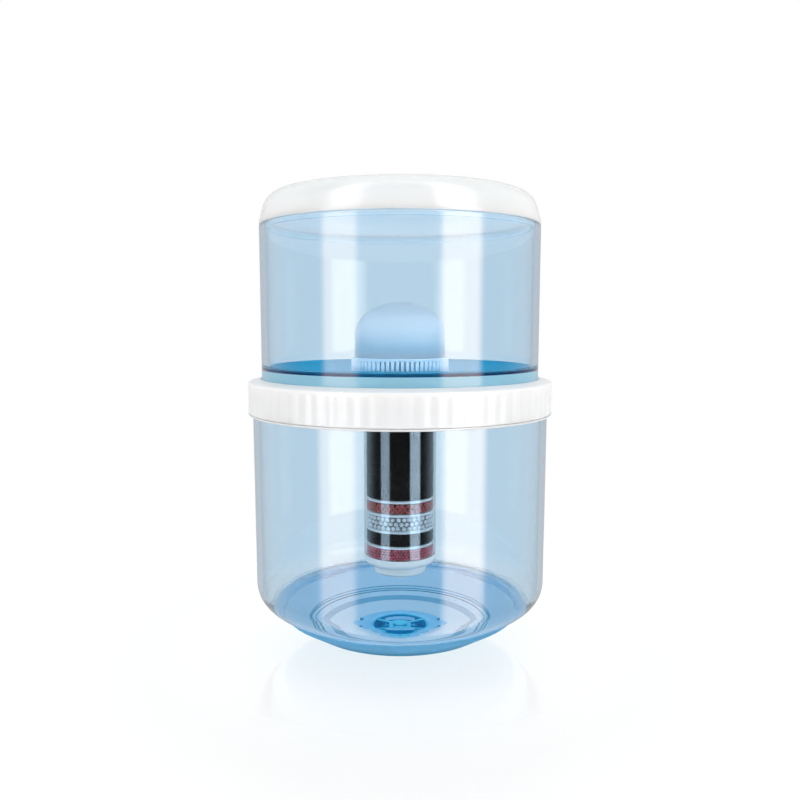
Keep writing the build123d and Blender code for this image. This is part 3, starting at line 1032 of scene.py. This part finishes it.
def scattered(node, size, kind, seed):
    """Fill the outside of a bed with balls or granules, in rows round its core."""
    fineness, layers, uneven = kind
    draw = random.Random(seed)
    radius, bottom, top = span(node)
    ball_points, ball_faces = unit_ball(fineness)
    filling = []
    rows = max(1, round((top - bottom) / (size * row_pitch)))
    row_height = (top - bottom) / rows
    for layer in range(layers):
        reach = radius - bead_gap - size / 2 - layer * size * layer_pitch
        count = int(2 * math.pi * reach / size)
        for row in range(rows):
            height = bottom + row_height * (row + 0.5)
            shift = 0.5 * ((row + layer) % 2)
            for number in range(count):
                angle = 2 * math.pi * (number + shift + draw.uniform(-turn_stray, turn_stray)) / count
                out = reach + draw.uniform(*out_stray) * size
                lift = height + draw.uniform(-lift_stray, lift_stray) * row_height
                grow = size / 2 * draw.uniform(*size_stray)
                stretch = [grow * (1 + draw.uniform(-uneven, uneven)) for axis in range(3)]
                lift = min(max(lift, bottom + max(stretch)), top - max(stretch))
                centre = (out * math.cos(angle), out * math.sin(angle), lift)
                filling.append((uneven_ball(draw, ball_points, centre, stretch, uneven), ball_faces))
    core_radius = radius - bead_gap - size * (0.5 + layer_pitch * (layers - 1))
    core = rounded([(0, bottom, 0), (core_radius, bottom, crisp), (core_radius, top, crisp), (0, top, 0)])
    return joined(*filling, lathe(core, steps_core))


def cartridge():
    """Fill the cartridge's beds and turn its tube."""
    beds = [
        ("red_ball_bed_upper", red_ball_upper, balls, red_upper, "red_balls"),
        ("red_ball_bed_lower", red_ball_lower, balls, red_lower, "red_balls"),
        ("white_ball_bed", white_ball, balls, white_clay, "white_balls"),
        ("carbon_bed_main", granule, granules, carbon_black, "carbon"),
        ("carbon_bed_lower", granule, granules, carbon_black, "carbon"),
    ]
    for seed, (node, size, kind, material, slot) in enumerate(beds):
        mesh = scattered(node, size, kind, seed)
        piece = add_mesh(node + "_fill", *mesh, "upper", material, [node])
    radius, bottom, top = span("cartridge_tube")
    outline = rounded(
        [
            (radius - tube_wall, bottom, crisp),
            (radius, bottom, crisp),
            (radius, top, crisp),
            (radius - tube_wall, top, crisp),
        ]
    )
    tube = lathe(outline, steps_small)
    piece = add_mesh("cartridge_tube_wall", *tube, "upper", clear, ["cartridge_tube"])


def cartridge_head():
    """Turn the cartridge's head with fine ribs round its skirt."""
    radius, bottom, top = span("cartridge_head")
    plate = top - head_boss_height
    inside = plate - head_plate

    def grip(place, height, angle):
        """Return a radius with the grooves between the ribs cut into the skirt's outside."""
        if place < radius - head_rib_face or height > plate - head_rib_margin:
            return place
        return place - head_rib_depth * (1 + math.cos(head_ribs * angle)) / 2

    outline = rounded(
        [
            (head_bore, top, fine),
            (head_boss, top, eased),
            (head_boss, plate, soft),
            (radius, plate, head_plate_round),
            (radius, bottom, head_skirt_round),
            (radius - head_skirt_wall, bottom, crisp),
            (radius - head_skirt_wall, inside, fine),
            (head_bore, inside, fine),
        ]
    )
    mesh = lathe(outline, steps_per_head_rib * head_ribs, grip)
    piece = add_mesh("cartridge_head_cap", *mesh, "upper", frosted, ["cartridge_head"])


def soft_rings():
    """Turn the washers, gaskets and seal."""
    rings = [
        ("dome_washer", washer_bore, "upper"),
        ("floor_washer", washer_bore, "upper"),
        ("tank_gasket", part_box("tank_gasket")[1].x - tank_gasket_width, "collar"),
        ("mouth_gasket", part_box("mouth_gasket")[1].x - neck_wall, "collar"),
        ("poppet_seal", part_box("poppet_seal")[1].x - seal_width, "poppet"),
        ("valve_gasket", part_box("valve_gasket")[1].x - valve_gasket_width, "base"),
    ]
    for node, inner, body in rings:
        outer, bottom, top = span(node)
        rounding = ring_rounding * (top - bottom)
        outline = rounded(
            [
                (inner, bottom, rounding),
                (outer, bottom, rounding),
                (outer, top, rounding),
                (inner, top, rounding),
            ]
        )
        material = blue if node == "valve_gasket" else silicone
        piece = add_mesh(node + "_ring", *lathe(outline, steps_small), body, material, [node])


def pads():
    """Turn the felt pads between the beds, each with its own ragged edge."""
    names = [
        "pad_top",
        "pad_below_carbon",
        "pad_below_red",
        "pad_below_white",
        "pad_below_black",
        "pad_bottom",
    ]
    for seed, node in enumerate(names):
        draw = random.Random(seed)
        outer, bottom, top = span(node)
        waves = [(number, draw.uniform(0, math.tau), draw.uniform(*pad_wave_size)) for number in pad_waves]

        def ragged(place, height, angle):
            """Return a radius with the waves of the edge cut into it."""
            swing = sum(size * (1 + math.sin(number * angle + start)) for number, start, size in waves)
            return (place - pad_ragged * swing * place / outer) * (1 - bead_gap / outer)

        rounding = pad_rounding * (top - bottom)
        outline = rounded([(0, bottom, 0), (outer, bottom, rounding), (outer, top, rounding), (0, top, 0)])
        piece = add_mesh(node + "_felt", *lathe(outline, steps_small, ragged), "upper", felt, [node])


upper_tank()
lower_tank()
cartridge_head()
soft_rings()
pads()
joint_collar()
lid()
ceramic_dome()
dome_base()
cartridge()


# Floor, light and camera


def floor():
    """Add a glowing white floor that mirrors the object, less sharply further out."""
    outline = [(0, 0), (floor_radius, 0), (floor_radius, -floor_thickness), (0, -floor_thickness)]
    points, faces = lathe(outline, floor_steps)
    mesh = bpy.data.meshes.new("floor")
    mesh.from_pydata(points, [], faces)
    material, tree, shader = new_material("floor", floor_color, floor_near)
    path = tree.nodes.new("ShaderNodeLightPath").outputs
    mirrored = at_least(tree, path["Glossy Depth"], 1)
    through = at_least(tree, path["Transmission Depth"], 1)
    lighting = at_least(tree, path["Diffuse Depth"], 1)
    reach = from_axis(tree)
    rim = step(tree, "MULTIPLY_ADD", fade(tree, reach, *floor_rim), floor_rim_gain, 1)
    glow = step(tree, "MULTIPLY", flip(tree, mirrored), rim)
    bounce = step(tree, "SUBTRACT", floor_bounce, glow)
    glow = step(tree, "MULTIPLY_ADD", bounce, path["Is Diffuse Ray"], glow)
    # Light through the tank tints the floor below it, which the tank's underside mirrors
    below = flip(tree, fade(tree, reach, *floor_below))
    below = step(tree, "MULTIPLY", below, flip(tree, through))
    below = step(tree, "MULTIPLY", below, mirrored)
    glow = step(tree, "MAXIMUM", glow, below)
    blur = step(tree, "MULTIPLY_ADD", fade(tree, reach, *floor_blur), floor_far - floor_near, floor_near)
    tree.links.new(blur, shader.inputs["Roughness"])
    tree.links.new(mix_color(tree, below, floor_white, floor_blue), shader.inputs["Emission Color"])
    tree.links.new(glow, shader.inputs["Emission Strength"])
    # The clear walls show the plain background past the floor, so no horizon cuts across them
    through = step(tree, "MULTIPLY", through, flip(tree, lighting))
    passing = step(tree, "MAXIMUM", through, step(tree, "SUBTRACT", mirrored, below))
    mix = tree.nodes.new("ShaderNodeMixShader")
    tree.links.new(passing, mix.inputs[0])
    tree.links.new(shader.outputs[0], mix.inputs[1])
    tree.links.new(tree.nodes.new("ShaderNodeBsdfTransparent").outputs[0], mix.inputs[2])
    tree.links.new(mix.outputs[0], tree.nodes["Material Output"].inputs["Surface"])
    mesh.materials.append(material)
    piece = bpy.data.objects.new("floor", mesh)
    piece.location.z = -floor_gap
    scene.collection.objects.link(piece)


def studio():
    """Light the object from all round, and show two tall strip lights in what its surfaces mirror."""
    world = bpy.data.worlds.new("studio")
    scene.world = world
    world.use_nodes = True
    world.cycles.sampling_method = "NONE"
    tree = world.node_tree
    background = tree.nodes["Background"]
    background.inputs["Color"].default_value = (1, 1, 1, 1)
    place = tree.nodes.new("ShaderNodeTexCoord")
    x, y, z = split(tree, place.outputs["Generated"])
    path = tree.nodes.new("ShaderNodeLightPath").outputs
    turn = step(tree, "ARCTAN2", x, step(tree, "MULTIPLY", y, -1))

    def strip(start, end, level):
        """Return a tall soft light from one angle round the object to another."""
        rise = fade(tree, turn, math.radians(start - strip_soft), math.radians(start + strip_soft))
        fall = fade(tree, turn, math.radians(end - strip_soft), math.radians(end + strip_soft))
        return step(tree, "MULTIPLY", step(tree, "SUBTRACT", rise, fall), level)

    # What mirrors show
    behind = fade(tree, step(tree, "ABSOLUTE", turn), *mirror_turn)
    lamps = step(tree, "ADD", strip(*strip_left, strip_left_level), strip(*strip_right, strip_right_level))
    deep_inside = at_least(tree, path["Transmission Depth"], inner_count)
    lamps = step(tree, "MULTIPLY", lamps, choose(tree, deep_inside, 1, strip_inner))
    mirrored = step(tree, "ADD", choose(tree, behind, mirror_front, mirror_back), lamps)
    inside = at_least(tree, path["Transmission Depth"], 1)
    tilt = step(tree, "ABSOLUTE", z)
    upward = choose(tree, inside, fade(tree, tilt, *sky_outside), fade(tree, tilt, *sky_inside))
    mirrored = choose(tree, upward, mirrored, mirror_sky)
    # What lights the surfaces
    in_tube = at_least(tree, path["Transmission Depth"], tube_count)
    within = choose(tree, in_tube, inside_level, tube_level)
    light = choose(tree, fade(tree, z, *sky_rise), side_level, sky_level)
    light = step(tree, "MULTIPLY", light, step(tree, "MULTIPLY_ADD", x, right_gain, 1))
    light = step(tree, "MULTIPLY", light, choose(tree, path["Is Transmission Ray"], 1, within))
    # The background is plain white where it is seen straight through or past the object
    level = choose(tree, at_least(tree, path["Glossy Depth"], 1), 1, mirrored)
    level = choose(tree, at_least(tree, path["Diffuse Depth"], 1), level, light)
    level = choose(tree, path["Is Camera Ray"], level, 1)
    tree.links.new(level, background.inputs["Strength"])


scene.cycles.max_bounces = 32
scene.cycles.transmission_bounces = 32
scene.cycles.glossy_bounces = 16
scene.cycles.diffuse_bounces = 8
floor()
studio()

camera = bpy.data.objects.new("camera", bpy.data.cameras.new("camera"))
camera.location = camera_place
camera.rotation_euler = (math.radians(90 - camera_pitch), 0, 0)
camera.data.lens = camera_lens
camera.data.sensor_width = camera_sensor
scene.collection.objects.link(camera)
scene.camera = camera
scene.view_settings.view_transform = "Standard"
